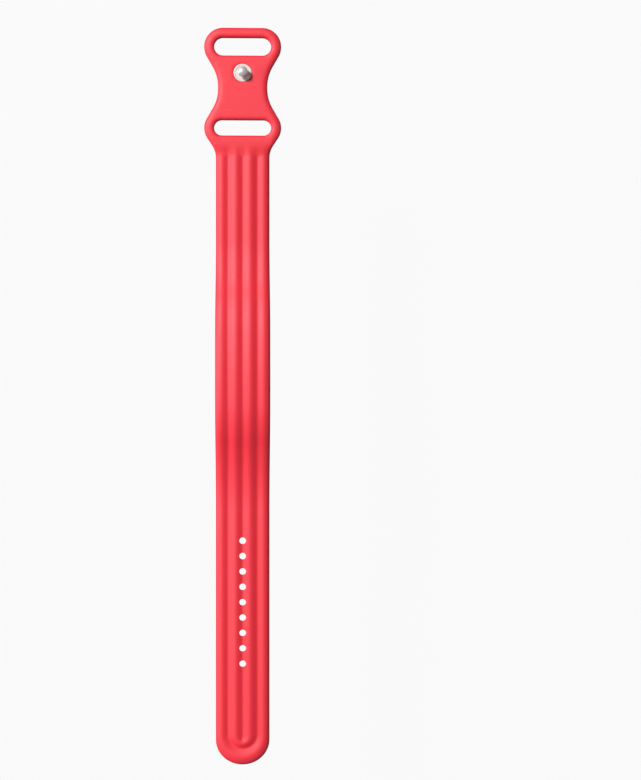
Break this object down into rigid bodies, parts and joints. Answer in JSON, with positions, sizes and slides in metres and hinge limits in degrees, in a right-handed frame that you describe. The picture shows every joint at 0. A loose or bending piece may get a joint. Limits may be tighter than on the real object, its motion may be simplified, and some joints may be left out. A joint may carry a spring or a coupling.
{
  "type": "wristband strap",
  "caption": "Ribbed elastomer wristband with a raised middle over an open pocket, a slotted head with a push-in metal stud, and a tail with a row of adjustment holes.",
  "frame": {"origin": "on the surface that the band lies on, under the centre of its bounding box", "axes": "+X across the band, +Y along it towards the head with the slots and the stud, +Z out of the outer face"},
  "size_m": [0.0258, 0.2474, 0.0096],
  "materials": {
    "strap_rubber": "matte coral red silicone with a fine satin grain",
    "stud_polished": "polished",
    "stud_satin": "satin"
  },
  "bodies": {
    "middle_body": {"strap_middle": "strap_rubber"},
    "to_head_1_body": {"strap_to_head_1": "strap_rubber"},
    "to_head_2_body": {"strap_to_head_2": "strap_rubber"},
    "to_head_3_body": {"strap_to_head_3": "strap_rubber"},
    "to_head_4_body": {"strap_to_head_4": "strap_rubber"},
    "to_head_5_body": {"strap_to_head_5": "strap_rubber"},
    "to_head_6_body": {"strap_to_head_6": "strap_rubber"},
    "head_body": {"strap_head": "strap_rubber", "stud_pin": "stud_polished", "stud_collar": "stud_satin", "stud_back_plate": "stud_satin"},
    "to_tail_1_body": {"strap_to_tail_1": "strap_rubber"},
    "to_tail_2_body": {"strap_to_tail_2": "strap_rubber"},
    "to_tail_3_body": {"strap_to_tail_3": "strap_rubber"},
    "to_tail_4_body": {"strap_to_tail_4": "strap_rubber"},
    "to_tail_5_body": {"strap_to_tail_5": "strap_rubber"},
    "to_tail_6_body": {"strap_to_tail_6": "strap_rubber"},
    "to_tail_7_body": {"strap_to_tail_7": "strap_rubber"},
    "to_tail_8_body": {"strap_to_tail_8": "strap_rubber"},
    "to_tail_9_body": {"strap_to_tail_9": "strap_rubber"},
    "to_tail_10_body": {"strap_to_tail_10": "strap_rubber"},
    "tip_body": {"strap_tip": "strap_rubber"}
  },
  "joints": [
    {"name": "head_flex_1", "type": "hinge", "parent": "middle_body", "child": "to_head_1_body", "pos_m": [0, 0.0211, 0.00779], "axis": [-1, 0, 0], "range_deg": [-10, 24], "stiffness_Nm_per_rad": 0.00412},
    {"name": "head_flex_2", "type": "hinge", "parent": "to_head_1_body", "child": "to_head_2_body", "pos_m": [0, 0.03401, 0.0047], "axis": [-1, 0, 0], "range_deg": [-10, 26], "stiffness_Nm_per_rad": 0.00328},
    {"name": "head_flex_3", "type": "hinge", "parent": "to_head_2_body", "child": "to_head_3_body", "pos_m": [0, 0.052, 0.0012], "axis": [-1, 0, 0], "range_deg": [-10, 28], "stiffness_Nm_per_rad": 0.00384},
    {"name": "head_flex_4", "type": "hinge", "parent": "to_head_3_body", "child": "to_head_4_body", "pos_m": [0, 0.061, 0.0012], "axis": [-1, 0, 0], "range_deg": [-10, 26], "stiffness_Nm_per_rad": 0.00468},
    {"name": "head_flex_5", "type": "hinge", "parent": "to_head_4_body", "child": "to_head_5_body", "pos_m": [0, 0.0725, 0.0012], "axis": [-1, 0, 0], "range_deg": [-10, 24], "stiffness_Nm_per_rad": 0.00417},
    {"name": "head_flex_6", "type": "hinge", "parent": "to_head_5_body", "child": "to_head_6_body", "pos_m": [0, 0.084, 0.0012], "axis": [-1, 0, 0], "range_deg": [-10, 22], "stiffness_Nm_per_rad": 0.00356},
    {"name": "head_flex_7", "type": "hinge", "parent": "to_head_6_body", "child": "head_body", "pos_m": [0, 0.0995, 0.0012], "axis": [-1, 0, 0], "range_deg": [-10, 20], "stiffness_Nm_per_rad": 0.00305},
    {"name": "tail_flex_1", "type": "hinge", "parent": "middle_body", "child": "to_tail_1_body", "pos_m": [0, -0.00309, 0.0079], "axis": [1, 0, 0], "range_deg": [-10, 24], "stiffness_Nm_per_rad": 0.00436},
    {"name": "tail_flex_2", "type": "hinge", "parent": "to_tail_1_body", "child": "to_tail_2_body", "pos_m": [0, -0.01483, 0.0053], "axis": [1, 0, 0], "range_deg": [-10, 24], "stiffness_Nm_per_rad": 0.00393},
    {"name": "tail_flex_3", "type": "hinge", "parent": "to_tail_2_body", "child": "to_tail_3_body", "pos_m": [0, -0.02681, 0.00209], "axis": [1, 0, 0], "range_deg": [-10, 24], "stiffness_Nm_per_rad": 0.00415},
    {"name": "tail_flex_4", "type": "hinge", "parent": "to_tail_3_body", "child": "to_tail_4_body", "pos_m": [0, -0.0375, 0.0012], "axis": [1, 0, 0], "range_deg": [-10, 26], "stiffness_Nm_per_rad": 0.005},
    {"name": "tail_flex_5", "type": "hinge", "parent": "to_tail_4_body", "child": "to_tail_5_body", "pos_m": [0, -0.04599, 0.0012], "axis": [1, 0, 0], "range_deg": [-10, 26], "stiffness_Nm_per_rad": 0.0051},
    {"name": "tail_flex_6", "type": "hinge", "parent": "to_tail_5_body", "child": "to_tail_6_body", "pos_m": [0, -0.05631, 0.0012], "axis": [1, 0, 0], "range_deg": [-10, 28], "stiffness_Nm_per_rad": 0.00465},
    {"name": "tail_flex_7", "type": "hinge", "parent": "to_tail_6_body", "child": "to_tail_7_body", "pos_m": [0, -0.06664, 0.0012], "axis": [1, 0, 0], "range_deg": [-10, 26], "stiffness_Nm_per_rad": 0.00465},
    {"name": "tail_flex_8", "type": "hinge", "parent": "to_tail_7_body", "child": "to_tail_8_body", "pos_m": [0, -0.07697, 0.0012], "axis": [1, 0, 0], "range_deg": [-10, 26], "stiffness_Nm_per_rad": 0.00465},
    {"name": "tail_flex_9", "type": "hinge", "parent": "to_tail_8_body", "child": "to_tail_9_body", "pos_m": [0, -0.08729, 0.0012], "axis": [1, 0, 0], "range_deg": [-10, 24], "stiffness_Nm_per_rad": 0.00465},
    {"name": "tail_flex_10", "type": "hinge", "parent": "to_tail_9_body", "child": "to_tail_10_body", "pos_m": [0, -0.09762, 0.0012], "axis": [1, 0, 0], "range_deg": [-10, 22], "stiffness_Nm_per_rad": 0.00465},
    {"name": "tail_flex_11", "type": "hinge", "parent": "to_tail_10_body", "child": "tip_body", "pos_m": [0, -0.10794, 0.0012], "axis": [1, 0, 0], "range_deg": [-10, 20], "stiffness_Nm_per_rad": 0.00368}
  ]
}
